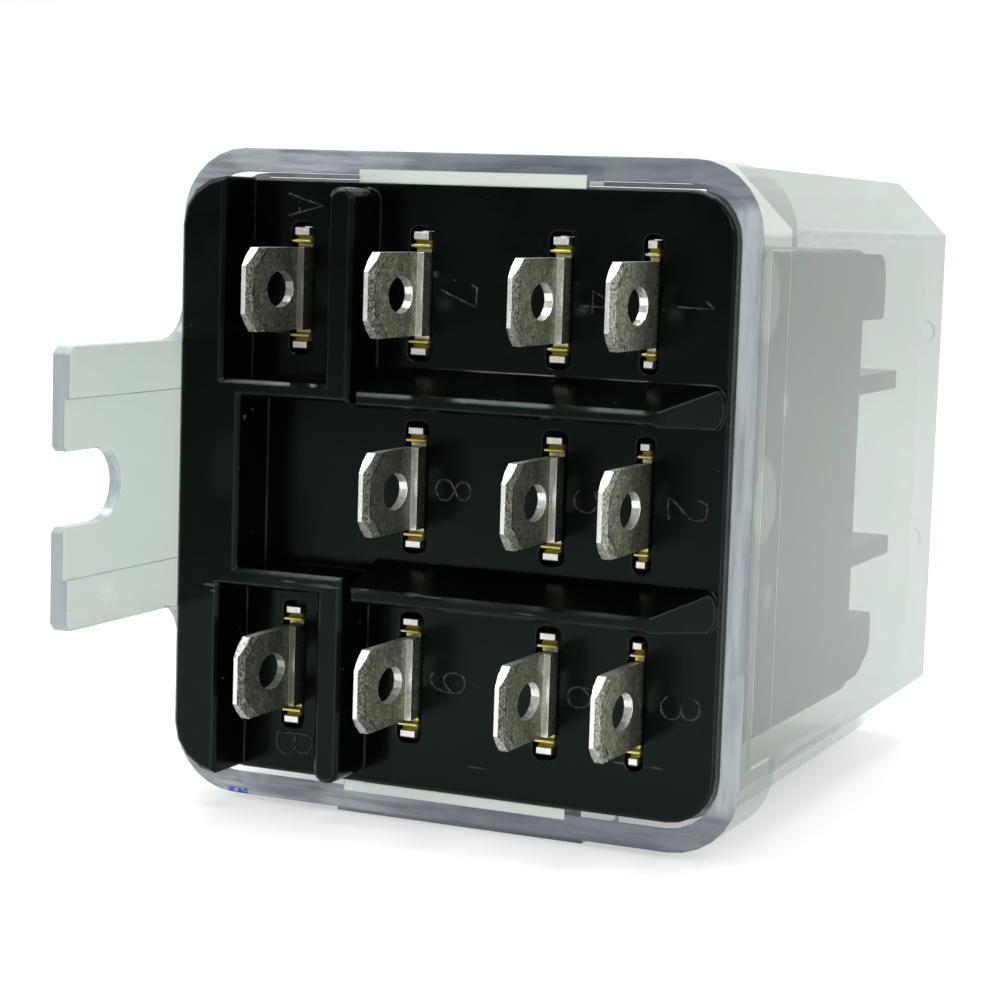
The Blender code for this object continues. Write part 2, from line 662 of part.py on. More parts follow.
def build_screw(name, middle_z):
    """A slotted screw that holds the yoke to a boss of the base."""
    head_y = YOKE_Y + YOKE_T + 0.1
    profile = [(0, 3.0), (0.65, 3.0), (0.65, head_y), (1.45, head_y), (1.45, head_y + 0.7),
               (1.2, head_y + 0.9), (0, head_y + 0.9)]
    screw = turned(name, profile, SCREW_X, middle_z, steps=16)
    cut(screw, boxes(name + "_slot", [((SCREW_X - 2, head_y + 0.45, middle_z - 0.2),
                                       (SCREW_X + 2, head_y + 2, middle_z + 0.2))]))
    return finish(screw, STEEL)


def build_armature():
    """The hinged iron plate, rocking on the top edge of the yoke."""
    back = YOKE_HALF_Z
    outline = rounded_outline([
        (-15.6, -2.4, 0.5), (-13.6, -2.4, 0), (-13.2, -back, 0.5), (0.9, -back, 0.5),
        (1.2, -6.9, 0), (CARRIER_X[1], -6.9, 0.5), (CARRIER_X[1], 6.9, 0.5), (1.2, 6.9, 0),
        (0.9, back, 0.5), (-13.2, back, 0.5), (-13.6, 2.4, 0), (-15.6, 2.4, 0.5)], steps=2)
    holes = [ellipse(SPRING_X, 0, 0.55, 0.55, 12), ellipse(RIVET_X, RIVET_Z, 0.8, 0.8, 12),
             ellipse(RIVET_X, -RIVET_Z, 0.8, 0.8, 12)]
    plate = prism("armature", [outline, *holes], "Y", ARMATURE_Y, ARMATURE_Y + ARMATURE_T)
    return finish(plate, STEEL, PIVOT)


def build_carrier():
    """The insulating bar that ties the three movable arms to the armature."""
    low = (CARRIER_X[0], CARRIER_Y[0], -13.9)
    high = (CARRIER_X[1], CARRIER_Y[1], 13.9)
    carrier = rounded_block("contact_carrier", low, high, "Z", 0.4, segments=2)
    cut(carrier, boxes("arm_slots", [((2.4, ARM_Y - 0.12, z - 2.35), (6.0, ARM_Y + ARM_T + 0.12, z + 2.35))
                                     for z in ROW_Z]))
    cut(carrier, cylinders("carrier_holes", [(RIVET_X, RIVET_Z), (RIVET_X, -RIVET_Z)], 0.8,
                           33, 38, segments=12))
    finish(carrier, BROWN_PHENOLIC, PIVOT)
    for number, z in ((1, RIVET_Z), (2, -RIVET_Z)):
        profile = [(0, 31.6), (1.1, 31.6), (1.25, 31.8), (1.25, 32.15), (0.6, 32.15), (0.6, 36.5),
                   (1.25, 36.5), (1.25, 36.85), (1.0, 37.05), (0, 37.05)]
        finish(turned("carrier_rivet_%d" % number, profile, RIVET_X, z, steps=16), BRASS, PIVOT)


def build_pole(number, z):
    """The movable arm and the three contacts of one pole, and its braided tail."""
    outline = rounded_outline([(2.65, z - 2.2, 0), (9.7, z - 2.2, 1.3), (9.7, z + 2.2, 1.3),
                               (2.65, z + 2.2, 0)])
    arm = prism("movable_arm_%d" % number,
                [outline, ellipse(CONTACT_X, z, 0.7, 0.7, 12)], "Y", ARM_Y, ARM_Y + ARM_T)
    finish(arm, BRASS, PIVOT)
    low = ARM_Y - 0.1
    high = ARM_Y + ARM_T + 0.1
    moving = [(0, low - 0.7), (1.1, low - 0.7), (CONTACT_R, low - 0.5), (CONTACT_R, low),
              (0.5, low), (0.5, high), (CONTACT_R, high), (CONTACT_R, high + 0.5),
              (1.1, high + 0.7), (0, high + 0.7)]
    finish(turned("movable_contact_%d" % number, moving, CONTACT_X, z, steps=18), SILVER, PIVOT)
    face = high + 0.8
    closed = [(0, face), (1.1, face), (CONTACT_R, face + 0.2), (CONTACT_R, NC_PLATE_Y - 0.1),
              (0.5, NC_PLATE_Y - 0.1), (0.5, NC_PLATE_Y + 0.6), (0.95, NC_PLATE_Y + 0.6),
              (0.95, NC_PLATE_Y + 0.9), (0, NC_PLATE_Y + 0.9)]
    finish(turned("closed_contact_%d" % number, closed, CONTACT_X, z, steps=18), SILVER)
    top = NO_PLATE_Y + 0.5
    opened = [(0, NO_PLATE_Y - 0.4), (0.95, NO_PLATE_Y - 0.4), (0.95, NO_PLATE_Y - 0.1),
              (0.5, NO_PLATE_Y - 0.1), (0.5, top + 0.1), (CONTACT_R, top + 0.1),
              (CONTACT_R, top + 0.35), (1.1, top + 0.5), (0, top + 0.5)]
    finish(turned("open_contact_%d" % number, opened, CONTACT_X, z, steps=18), SILVER)


def build_pigtails():
    """Flexible braids from the common terminals to the movable arms."""
    for number, z, aside in ((1, ROW_Z[0], ROW_Z[0]), (2, ROW_Z[1], -9.1), (3, ROW_Z[2], ROW_Z[2])):
        start_x = COMMON_FACE_X + GAP + 0.62
        knots = [(start_x, 2.9, z), (start_x, 3.6, z)]
        if aside != z:
            knots.append((start_x + 0.2, 4.1, z - 3.0))
            knots.append((start_x + 0.2, 4.2, aside + 1.6))
        knots += [(start_x, 6.5, aside), (-1.2, 14.0, aside), (-0.9, 24.0, aside),
                  (0.1, 33.0, aside), (0.5, 36.6, aside)]
        if aside != z:
            knots.append((0.4, 38.0, aside + 3.0))
            knots.append((1.2, 38.3, z - 1.5))
            knots.append((3.2, 38.0, z))
        else:
            knots.append((2.3, 37.9, z))
        knots += [(4.6, 37.3, z), (5.4, 36.35, z)]
        finish(wire("pigtail_%d" % number, smooth_path(knots, 3), 0.5), BRAID)


def build_leads():
    """The two fine coil leads from terminals A and B to the winding."""
    for name, side in (("A", 1), ("B", -1)):
        knots = [(-9.55, 3.3, side * 11.0), (-9.5, 4.6, side * 10.9), (-9.6, 6.6, side * 9.9),
                 (-9.4, 8.3, side * 8.4), (-8.75, 9.3, side * 6.9), (-8.0, 9.6, side * 6.6)]
        finish(wire("coil_lead_" + name, smooth_path(knots, 3), 0.25), LEAD)


def build_spring():
    """The return spring between the yoke's anchor and the armature's tail."""
    radius = 0.95
    turns = 13
    low = ANCHOR_Y + 1.9
    high = ARMATURE_Y - 1.3
    steps = 9 * turns
    points = [(SPRING_X + 0.7, ANCHOR_Y - 0.5, 0.0), (SPRING_X, ANCHOR_Y - 0.45, 0.0),
              (SPRING_X, low - 0.4, 0.0)]
    for k in range(steps + 1):
        turn = 2 * math.pi * k / 9
        points.append((SPRING_X + radius * math.cos(turn), low + (high - low) * k / steps,
                       radius * math.sin(turn)))
    hook_y = ARMATURE_Y + ARMATURE_T + 0.5
    points += [(SPRING_X, high + 0.4, 0.0), (SPRING_X, hook_y, 0.0),
               (SPRING_X - 0.7, hook_y + 0.05, 0.0)]
    finish(wire("return_spring", points, 0.17), SPRING_STEEL)


clear_scene()
PARTS = new_collection("plug_in_relay")
WORKSHOP = new_collection("relay_workshop")
CUTTERS = new_collection("relay_cutters")
ROOT = bpy.data.objects.new("terminal_face_centre", None)
ROOT.location = Vector(ROOT_POSITION) * MM
PARTS.objects.link(ROOT)
PIVOT = bpy.data.objects.new("armature_pivot", None)
PIVOT.location = Vector((PIVOT_X, ARMATURE_Y, 0.0)) * MM
PIVOT.parent = ROOT
PARTS.objects.link(PIVOT)

BLACK_PHENOLIC = material("black_phenolic", (0.012, 0.013, 0.013), 0.28)
BROWN_PHENOLIC = material("brown_phenolic", (0.16, 0.07, 0.03), 0.5)
CLEAR_PLASTIC = material("clear_plastic", (0.86, 0.90, 0.88), 0.06, transmission=1.0)
NICKEL = material("nickel_plate", (0.50, 0.49, 0.43), 0.32, metallic=1.0)
STEEL = material("zinc_steel", (0.55, 0.56, 0.57), 0.35, metallic=1.0)
SPRING_STEEL = material("spring_steel", (0.38, 0.38, 0.38), 0.3, metallic=1.0)
BRASS = material("spring_brass", (0.72, 0.55, 0.27), 0.3, metallic=1.0)
SILVER = material("silver_contact", (0.85, 0.84, 0.80), 0.25, metallic=1.0)
COPPER = material("enamelled_copper", (0.55, 0.22, 0.10), 0.35, metallic=1.0)
BRAID = material("copper_braid", (0.62, 0.33, 0.18), 0.5, metallic=1.0)
LEAD = material("lead_sleeve", (0.50, 0.06, 0.05), 0.45)
TAPE = material("coil_tape", (0.70, 0.62, 0.25), 0.4)
BOBBIN_NYLON = material("bobbin_nylon", (0.72, 0.70, 0.62), 0.45)

build_base()
build_cover()
for label, face, height in terminal_positions():
    build_terminal(label, face, height)
build_contact_block()
build_coil()
build_yoke()
build_screw("yoke_screw_1", SCREW_Z)
build_screw("yoke_screw_2", -SCREW_Z)
build_armature()
build_carrier()
for pole, height in enumerate(ROW_Z, start=1):
    build_pole(pole, height)
build_pigtails()
build_leads()
build_spring()
bpy.data.collections.remove(WORKSHOP)
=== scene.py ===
"""Looks of the plug-in relay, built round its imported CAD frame."""
import json
import math

import bmesh
import bpy
from mathutils import Matrix, Vector


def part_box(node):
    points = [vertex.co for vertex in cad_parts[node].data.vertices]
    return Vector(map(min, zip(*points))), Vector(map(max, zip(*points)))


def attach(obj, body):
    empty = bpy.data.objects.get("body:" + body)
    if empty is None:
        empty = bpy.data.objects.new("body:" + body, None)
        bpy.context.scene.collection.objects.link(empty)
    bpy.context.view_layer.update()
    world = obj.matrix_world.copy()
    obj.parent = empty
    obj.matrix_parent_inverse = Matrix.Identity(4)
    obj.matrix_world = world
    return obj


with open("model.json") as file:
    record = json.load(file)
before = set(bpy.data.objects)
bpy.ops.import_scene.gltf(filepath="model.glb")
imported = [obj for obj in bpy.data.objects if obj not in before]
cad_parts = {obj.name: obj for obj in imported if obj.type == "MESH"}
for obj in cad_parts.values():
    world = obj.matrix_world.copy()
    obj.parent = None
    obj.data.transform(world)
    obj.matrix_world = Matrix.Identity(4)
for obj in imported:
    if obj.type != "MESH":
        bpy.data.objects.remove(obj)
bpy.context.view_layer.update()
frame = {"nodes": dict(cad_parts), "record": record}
MM = 0.001
BODY = "relay_body"
NODES = frame["nodes"]

# Reference planes, read from the frame. Lengths named below are millimetres, angles degrees.
BASE_LOW, BASE_HIGH = (Vector(corner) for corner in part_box("base"))
COVER_LOW, COVER_HIGH = (Vector(corner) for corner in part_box("cover"))
BLADE_LOW, BLADE_HIGH = (Vector(corner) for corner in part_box("terminal_8"))
MID_Z = (BLADE_LOW.z + BLADE_HIGH.z) / 2
ROW_PITCH = 11.1
LABELS = "123456789AB"

# Places on the cover, in millimetres from the middle of the terminal rows and the rim
LATCH_MIDDLE_X = 0.6
LATCH_HALF_X = 7.0
BEAD_TOP_Z = 18.05
INK_X = -13.45
INK_TOP_Z = -18.72
FOG = 0.10
INDEX_OF_REFRACTION = 1.5
MIDDLE_OF_DEPTH = 20.0
ROUND_SPOTS = ((1.6, 11.75, 2.5), (2.6, 0.5, 2.4), (6.05, 5.7, 0.75), (4.3, -5.0, 0.75))
BLADE_TIP = -5.81
RIM_Y = BLADE_LOW.y - BLADE_TIP * MM
BLADE_FACES = {mount["name"].split("_")[1]: mount["pos_m"][0]
               for mount in frame["record"]["mounts"] if mount["name"].startswith("blade_")}

# Blades: the cut corner runs along (CUT_ALONG, CUT_ACROSS) and starts this far from the row
CUT_ALONG = 0.65
CUT_ACROSS = 0.76
CUT_START_Z = 1.35

# Moulded figures on the base's floor
ROUND_FIGURES = "235689B"
GLYPH_HEIGHT = 2.2
GLYPH_WIDTH = 1.25
STROKE_RADIUS = 0.075
CURVE_STEPS = 5
BASE_FLOOR_Y = 0.7
FIGURE_OFFSET_X = 2.35
COIL_FIGURE_X = -10.2
COIL_FIGURE_Z = 4.8

# Black webs that close each slot round its terminal, put in as painted shade
BLADE_T = 0.51
DOUBLER_T = 0.4
NC_FACE_X = 11.64
ROOT_HALF_Z = 3.53
SLIT = 0.03
SLOT_CLEARANCE = 0.42
WEB_Y = 1.95
WEB_THICK = 0.2

# Facets that meet at a wider angle than this stay sharp
SHARPEST_ROUND = 31.0

# The stage, in metres
FLOOR_REACH = 2.0
FLOOR_BACK = 0.45
BACKDROP_RADIUS = 0.35
BACKDROP_TOP = 1.6
BACKDROP_STEPS = 12

# The camera solved from the photo: turn, tilt and roll, lens and place
CAMERA_ANGLES = (23.952, 6.587, 1.841)
CAMERA_LENS = 91.838
SENSOR_WIDTH = 36.0
CAMERA_PLACE = (60.973, -130.484, 16.258)


def at(x, y, z):
    """A point given in millimetres from the middle of the terminal rows and the rim."""
    return Vector((x * MM, RIM_Y + y * MM, MID_Z + z * MM))


# ---------------------------------------------------------------- node helpers
class Nodes:
    """Short calls for building one material's node tree."""

    def __init__(self, name):
        self.material = bpy.data.materials.new(name)
        self.material.use_nodes = True
        self.tree = self.material.node_tree
        self.tree.nodes.clear()
        source = self.add("ShaderNodeTexCoord")
        self.source = source.name
        self.coords = source.outputs["Object"]

    def add(self, kind, **settings):
        node = self.tree.nodes.new(kind)
        for key, value in settings.items():
            setattr(node, key, value)
        return node

    def put(self, socket, value):
        if isinstance(value, bpy.types.NodeSocket):
            self.tree.links.new(value, socket)
        elif value is not None:
            socket.default_value = value

    def math(self, operation, a, b=None):
        node = self.add("ShaderNodeMath", operation=operation)
        for socket, value in zip(node.inputs, (a, b)):
            self.put(socket, value)
        return node.outputs[0]

    def scale_pattern(self, node, size, stretch):
        """Fit a texture's features to a size in millimetres, stretched along each axis."""
        mapping = self.add("ShaderNodeMapping")
        self.put(mapping.inputs["Vector"], self.coords)
        mapping.inputs["Scale"].default_value = [s / (size * MM) for s in stretch]
        self.put(node.inputs["Vector"], mapping.outputs[0])

    def noise(self, size, detail=3.0, roughness=0.55, stretch=(1, 1, 1), distortion=0.0):
        """Noise whose features are about size millimetres across."""
        node = self.add("ShaderNodeTexNoise")
        self.scale_pattern(node, size, stretch)
        node.inputs["Scale"].default_value = 1.0
        node.inputs["Detail"].default_value = detail
        node.inputs["Roughness"].default_value = roughness
        node.inputs["Distortion"].default_value = distortion
        return node.outputs["Fac"]

    def cells(self, size):
        """Distance to the nearest of points about size millimetres apart."""
        node = self.add("ShaderNodeTexVoronoi", feature="F1")
        self.scale_pattern(node, size, (1, 1, 1))
        node.inputs["Scale"].default_value = 1.0
        return node.outputs["Distance"]

    def ramp(self, value, low, high, out_low=0.0, out_high=1.0):
        node = self.add("ShaderNodeMapRange", interpolation_type="SMOOTHSTEP")
        self.put(node.inputs["Value"], value)
        for key, number in (("From Min", low), ("From Max", high),
                            ("To Min", out_low), ("To Max", out_high)):
            node.inputs[key].default_value = number
        return node.outputs[0]

    def mix(self, share, a, b):
        node = self.add("ShaderNodeMix", data_type="RGBA")
        self.put(node.inputs["Factor"], share)
        self.put(node.inputs["A"], (*a, 1.0) if isinstance(a, tuple) else a)
        self.put(node.inputs["B"], (*b, 1.0) if isinstance(b, tuple) else b)
        return node.outputs["Result"]

    def local(self, axis):
        """Millimetres along an axis from the middle of the terminal rows and the rim."""
        split = self.add("ShaderNodeSeparateXYZ")
        self.put(split.inputs[0], self.coords)
        start = at(0, 0, 0)["XYZ".index(axis)]
        return self.math("MULTIPLY", self.math("SUBTRACT", split.outputs[axis], start), 1 / MM)

    def normal(self, axis):
        """One part of the surface's own normal."""
        split = self.add("ShaderNodeSeparateXYZ")
        self.put(split.inputs[0], self.tree.nodes[self.source].outputs["Normal"])
        return split.outputs[axis]

    def row_distance(self, pitch):
        """Millimetres above or below the nearest terminal row's middle."""
        turns = self.math("ADD", self.math("DIVIDE", self.local("Z"), pitch), 0.5)
        share = self.math("SUBTRACT", self.math("FRACT", turns), 0.5)
        return self.math("ABSOLUTE", self.math("MULTIPLY", share, pitch))

    def edge_round(self, radius):
        """A normal that rounds sharp edges by a radius in millimetres."""
        node = self.add("ShaderNodeBevel", samples=4)
        node.inputs["Radius"].default_value = radius * MM
        return node.outputs[0]

    def on_edge(self, rounded):
        """1 where the rounded normal leaves the surface's own, 0 on flats."""
        node = self.add("ShaderNodeVectorMath", operation="DOT_PRODUCT")
        self.put(node.inputs[0], rounded)
        self.put(node.inputs[1], self.add("ShaderNodeNewGeometry").outputs["Normal"])
        return self.ramp(node.outputs["Value"], 0.998, 0.93)

    def simple(self, kind, **inputs):
        """A shader with its inputs set; an underscore in a name stands for a space."""
        node = self.add(kind)
        for key, value in inputs.items():
            if isinstance(value, tuple) and len(value) == 3:
                value = (*value, 1.0)
            self.put(node.inputs[key.replace("_", " ")], value)
        return node.outputs[0]

    def blend(self, share, a, b):
        """Mix two shaders."""
        node = self.add("ShaderNodeMixShader")
        for socket, value in zip(node.inputs, (share, a, b)):
            self.put(socket, value)
        return node.outputs[0]

    def bump(self, height, depth, strength=1.0, normal=None):
        """Bump whose full height is depth millimetres."""
        node = self.add("ShaderNodeBump")
        node.inputs["Strength"].default_value = strength
        node.inputs["Distance"].default_value = depth * MM
        self.put(node.inputs["Height"], height)
        self.put(node.inputs["Normal"], normal)
        return node.outputs[0]

    def principled(self, **inputs):
        return self.simple("ShaderNodeBsdfPrincipled", **inputs)

    def finish(self, shader):
        output = self.add("ShaderNodeOutputMaterial")
        self.put(output.inputs["Surface"], shader)
        return self.material


# ------------------------------------------------------------------- materials
def black_phenolic():
    """Glossy black moulding: faint flow waves, fine grain, rare dust and hair scratches."""
    n = Nodes("black_phenolic")
    cloud = n.noise(4.0, 4)
    fine = n.noise(0.12, 3)
    dust = n.ramp(n.cells(1.7), 0.035, 0.02)
    hair = n.math("MULTIPLY", n.ramp(n.noise(0.9, 2, stretch=(0.12, 1, 1.6)), 0.715, 0.73),
                  n.ramp(n.noise(5.0, 1), 0.5, 0.56))
    marks = n.math("MULTIPLY", n.math("MAXIMUM", dust, hair), 0.35)
    plain = n.mix(cloud, (0.0003, 0.0006, 0.0005), (0.0009, 0.0022, 0.0018))
    colour = n.mix(marks, plain, (0.14, 0.15, 0.14))
    rough = n.math("ADD", n.ramp(cloud, 0.3, 0.7, 0.10, 0.22), n.math("MULTIPLY", fine, 0.06))
    rounded_edge = n.edge_round(0.18)
    edge = n.on_edge(rounded_edge)
    wave = n.bump(n.noise(2.6, 2), 0.030, 0.5, rounded_edge)
    grain = n.bump(fine, 0.003, 0.3, wave)
    return n.finish(n.principled(Base_Color=colour, Roughness=rough, Normal=grain,
                                 Specular_IOR_Level=n.ramp(edge, 0.0, 1.0, 0.14, 0.45),
                                 Specular_Tint=(0.72, 1.0, 0.90)))


def tip_band(n, row):
    """How far a point lies inside the blade's outline, in millimetres from tip and cut corners."""
    inward = n.math("SUBTRACT", n.local("Y"), BLADE_TIP)
    cut = n.math("SUBTRACT", n.math("MULTIPLY", inward, CUT_ALONG),
                 n.math("MULTIPLY", n.math("SUBTRACT", row, CUT_START_Z), CUT_ACROSS))
    return n.math("MINIMUM", inward, cut)


def plated_brass():
    """Nickel plate with a mottle and dark stains, and bare brass in the staked notches.

    The blades also darken towards the left column and the middle row, and along their
    roots, as they do in the photographed light.
    """
    n = Nodes("nickel_plate")
    patch = n.noise(0.8, 4, 0.6, distortion=0.6)
    speck = n.noise(0.15, 4, 0.7)
    crack = n.ramp(n.noise(0.35, 5, 0.75, stretch=(1, 1, 0.6), distortion=1.2), 0.57, 0.64)
    stain = n.math("MULTIPLY", n.ramp(patch, 0.40, 0.60), n.ramp(speck, 0.42, 0.62))
    stain = n.math("MAXIMUM", n.math("MULTIPLY", stain, 0.75), crack)
    tone = n.mix(n.ramp(speck, 0.36, 0.64), (0.15, 0.16, 0.10), (0.84, 0.86, 0.66))
    row = n.row_distance(ROW_PITCH)
    lit = n.math("MULTIPLY", n.ramp(n.local("X"), -11.0, -4.0, 0.53, 0.95),
                 n.ramp(n.local("X"), 7.0, 11.0, 1.0, 0.85))
    middle_row = n.math("SUBTRACT", 1.0, n.ramp(n.math("ABSOLUTE", n.local("Z")), 3.0, 8.0))
    lit = n.math("MULTIPLY", lit, n.math("SUBTRACT", 1.0, n.math(
        "MULTIPLY", middle_row, n.ramp(n.local("X"), 7.0, 11.0, 0.55, 0.2))))
    lit = n.math("MULTIPLY", lit, n.ramp(n.local("Y"), -3.2, -0.2, 1.0, 0.5))
    tone = n.mix(lit, (0.0, 0.0, 0.0), tone)
    flat = n.mix(stain, tone, (0.022, 0.022, 0.012))
    inside = n.math("ADD", tip_band(n, row), n.math("MULTIPLY", n.noise(0.3, 2), 0.14))
    # The tip and its cut corners get a lighter band: painted highlight.
    bevel_highlight = n.mix(n.ramp(speck, 0.40, 0.60), (0.10, 0.105, 0.075), (0.60, 0.62, 0.53))
    # A dark line is painted where that band meets the flat: painted shade.
    crease_shade = n.math("MULTIPLY", n.ramp(inside, 0.72, 0.78), n.ramp(inside, 0.92, 0.82))
    crease_shade = n.math("MULTIPLY", crease_shade, n.ramp(n.noise(0.5, 2), 0.44, 0.56))
    flat = n.mix(crease_shade, flat, (0.006, 0.006, 0.004))
    flat = n.mix(n.ramp(inside, 0.78, 0.72), flat, bevel_highlight)
    side = n.ramp(n.math("ABSOLUTE", n.normal("X")), 0.80, 0.95)
    clean = n.mix(n.ramp(speck, 0.35, 0.65), (0.74, 0.75, 0.68), (0.92, 0.93, 0.88))
    shaded = n.math("MULTIPLY", n.ramp(n.local("Y"), -2.5, -0.3), n.ramp(row, 2.9, 2.6))
    shaded = n.math("MULTIPLY", shaded, n.ramp(n.local("X"), -9.0, -6.0, 0.85, 0.0))
    clean = n.mix(shaded, clean, (0.22, 0.24, 0.19))
    deep = n.ramp(n.local("Y"), 0.30, 0.50)
    upward = n.math("ABSOLUTE", n.normal("Z"))
    # Faces deep in the slot that face up or down are painted almost black: painted shade.
    clean = n.mix(n.math("MULTIPLY", deep, n.ramp(upward, 0.4, 0.8)), clean, (0.02, 0.02, 0.015))
    # The slanting faces of the cut corners are painted greyer: painted shade.
    corner = n.math("MULTIPLY", n.ramp(upward, 0.55, 0.65), n.ramp(upward, 0.92, 0.85))
    corner = n.math("MULTIPLY", corner, n.ramp(n.local("Y"), -4.4, -4.6))
    clean = n.mix(corner, clean, n.mix(n.ramp(speck, 0.4, 0.6), (0.20, 0.21, 0.17),
                                       (0.55, 0.57, 0.50)))
    plated = n.mix(side, clean, flat)
    notch = n.math("MULTIPLY", n.ramp(row, 2.42, 2.50), n.ramp(row, 3.12, 3.02))
    brass = n.mix(n.noise(0.25, 3), (0.50, 0.44, 0.10), (0.80, 0.74, 0.30))
    colour = n.mix(n.math("MULTIPLY", notch, deep), plated, brass)
    rough = n.math("ADD", n.math("MULTIPLY", side, 0.14), n.ramp(stain, 0.0, 1.0, 0.30, 0.55))
    pits = n.bump(speck, 0.010, 0.55, n.edge_round(0.05))
    return n.finish(n.principled(Base_Color=colour, Metallic=0.85, Roughness=rough, Normal=pits))


def wall_marks(n):
    """Paler round spots and painted refraction lines along the folded corners of the right wall,
    from 0 to 1.
    """
    right = n.ramp(n.local("X"), 17.0, 17.2)
    rings = 0.0
    for y, z, radius in ROUND_SPOTS:
        across = n.math("SUBTRACT", n.local("Y"), y)
        up = n.math("SUBTRACT", n.local("Z"), z)
        reach = n.math("SQRT", n.math("ADD", n.math("MULTIPLY", across, across),
                                      n.math("MULTIPLY", up, up)))
        rings = n.math("MAXIMUM", rings, n.ramp(reach, radius + 0.06, radius - 0.06))
    height = n.math("ABSOLUTE", n.local("Z"))
    thin_line = n.math("MULTIPLY", n.ramp(height, 15.2, 15.3), n.ramp(height, 15.55, 15.45))
    wide_line = n.math("MULTIPLY", n.ramp(height, 14.2, 14.6), n.ramp(height, 15.0, 14.8))
    fold = n.math("MULTIPLY", n.math("MAXIMUM", thin_line, wide_line),
                  n.ramp(n.local("Y"), 8.0, 9.5))
    return n.math("MULTIPLY", rings, right), n.math("MULTIPLY", fold, right)


def rim_tone(n, height):
    """Violet-grey streaks and pale latch beads painted on the cover's edges as painted reflection,
    and a dab of ink.
    """
    level = n.ramp(height, 16.0, 17.2)
    long_way = n.noise(0.7, 4, 0.6, stretch=(0.10, 1, 1))
    upright = n.noise(0.7, 4, 0.6, stretch=(1, 1, 0.10))
    streak = n.math("ADD", n.math("MULTIPLY", level, long_way),
                    n.math("MULTIPLY", n.math("SUBTRACT", 1.0, level), upright))
    tone = n.mix(n.ramp(streak, 0.36, 0.64), (0.14, 0.16, 0.19), (0.33, 0.37, 0.40))
    tone = n.mix(n.math("MULTIPLY", n.ramp(n.noise(3.2, 2), 0.45, 0.65), 0.45), tone,
                 (0.40, 0.44, 0.43))
    # The sides are painted lighter: painted light.
    tone = n.mix(n.math("MULTIPLY", n.math("SUBTRACT", 1.0, level), 0.35), tone,
                 (0.44, 0.50, 0.50))
    # The top edge is painted darker towards the right: painted shade.
    tone = n.mix(n.math("MULTIPLY", level, n.ramp(n.local("X"), -9.0, 3.0, 0.0, 0.7)), tone,
                 (0.07, 0.085, 0.105))
    middle = n.math("ABSOLUTE", n.math("SUBTRACT", n.local("X"), LATCH_MIDDLE_X))
    bead = n.math("MULTIPLY", n.ramp(middle, LATCH_HALF_X + 0.05, LATCH_HALF_X - 0.05),
                  n.ramp(height, BEAD_TOP_Z + 0.03, BEAD_TOP_Z - 0.03))
    bead = n.math("MULTIPLY", bead, n.ramp(height, 17.0, 17.2))
    tone = n.mix(bead, tone, (0.59, 0.66, 0.61))
    dab = n.math("ABSOLUTE", n.math("SUBTRACT", n.local("X"), INK_X))
    ink = n.math("MULTIPLY", n.ramp(dab, 0.85, 0.6),
                 n.ramp(n.local("Z"), INK_TOP_Z, INK_TOP_Z - 0.08))
    ink = n.math("MULTIPLY", ink, n.ramp(n.noise(0.5, 3), 0.42, 0.5))
    return n.mix(ink, tone, (0.004, 0.05, 0.42))


def facing_out(n):
    """1 on the cover's outside, 0 on the walls of its hollow."""
    reach = n.math("MULTIPLY", n.local("X"), n.normal("X"))
    reach = n.math("ADD", reach, n.math("MULTIPLY", n.local("Z"), n.normal("Z")))
    deep = n.math("SUBTRACT", n.local("Y"), MIDDLE_OF_DEPTH)
    reach = n.math("ADD", reach, n.math("MULTIPLY", deep, n.normal("Y")))
    return n.ramp(reach, -1.0, 1.0)


def collar_thinning(n):
    """The collar's round corners stand off the body and tint less than the walls."""
    corner = n.math("MULTIPLY", n.ramp(n.math("ABSOLUTE", n.local("Z")), 14.8, 15.4),
                    n.ramp(n.math("ABSOLUTE", n.local("X")), 13.2, 14.2))
    corner = n.math("MULTIPLY", corner, n.ramp(n.local("Y"), 6.05, 5.85))
    return n.ramp(corner, 0.0, 1.0, 1.0, 0.6)


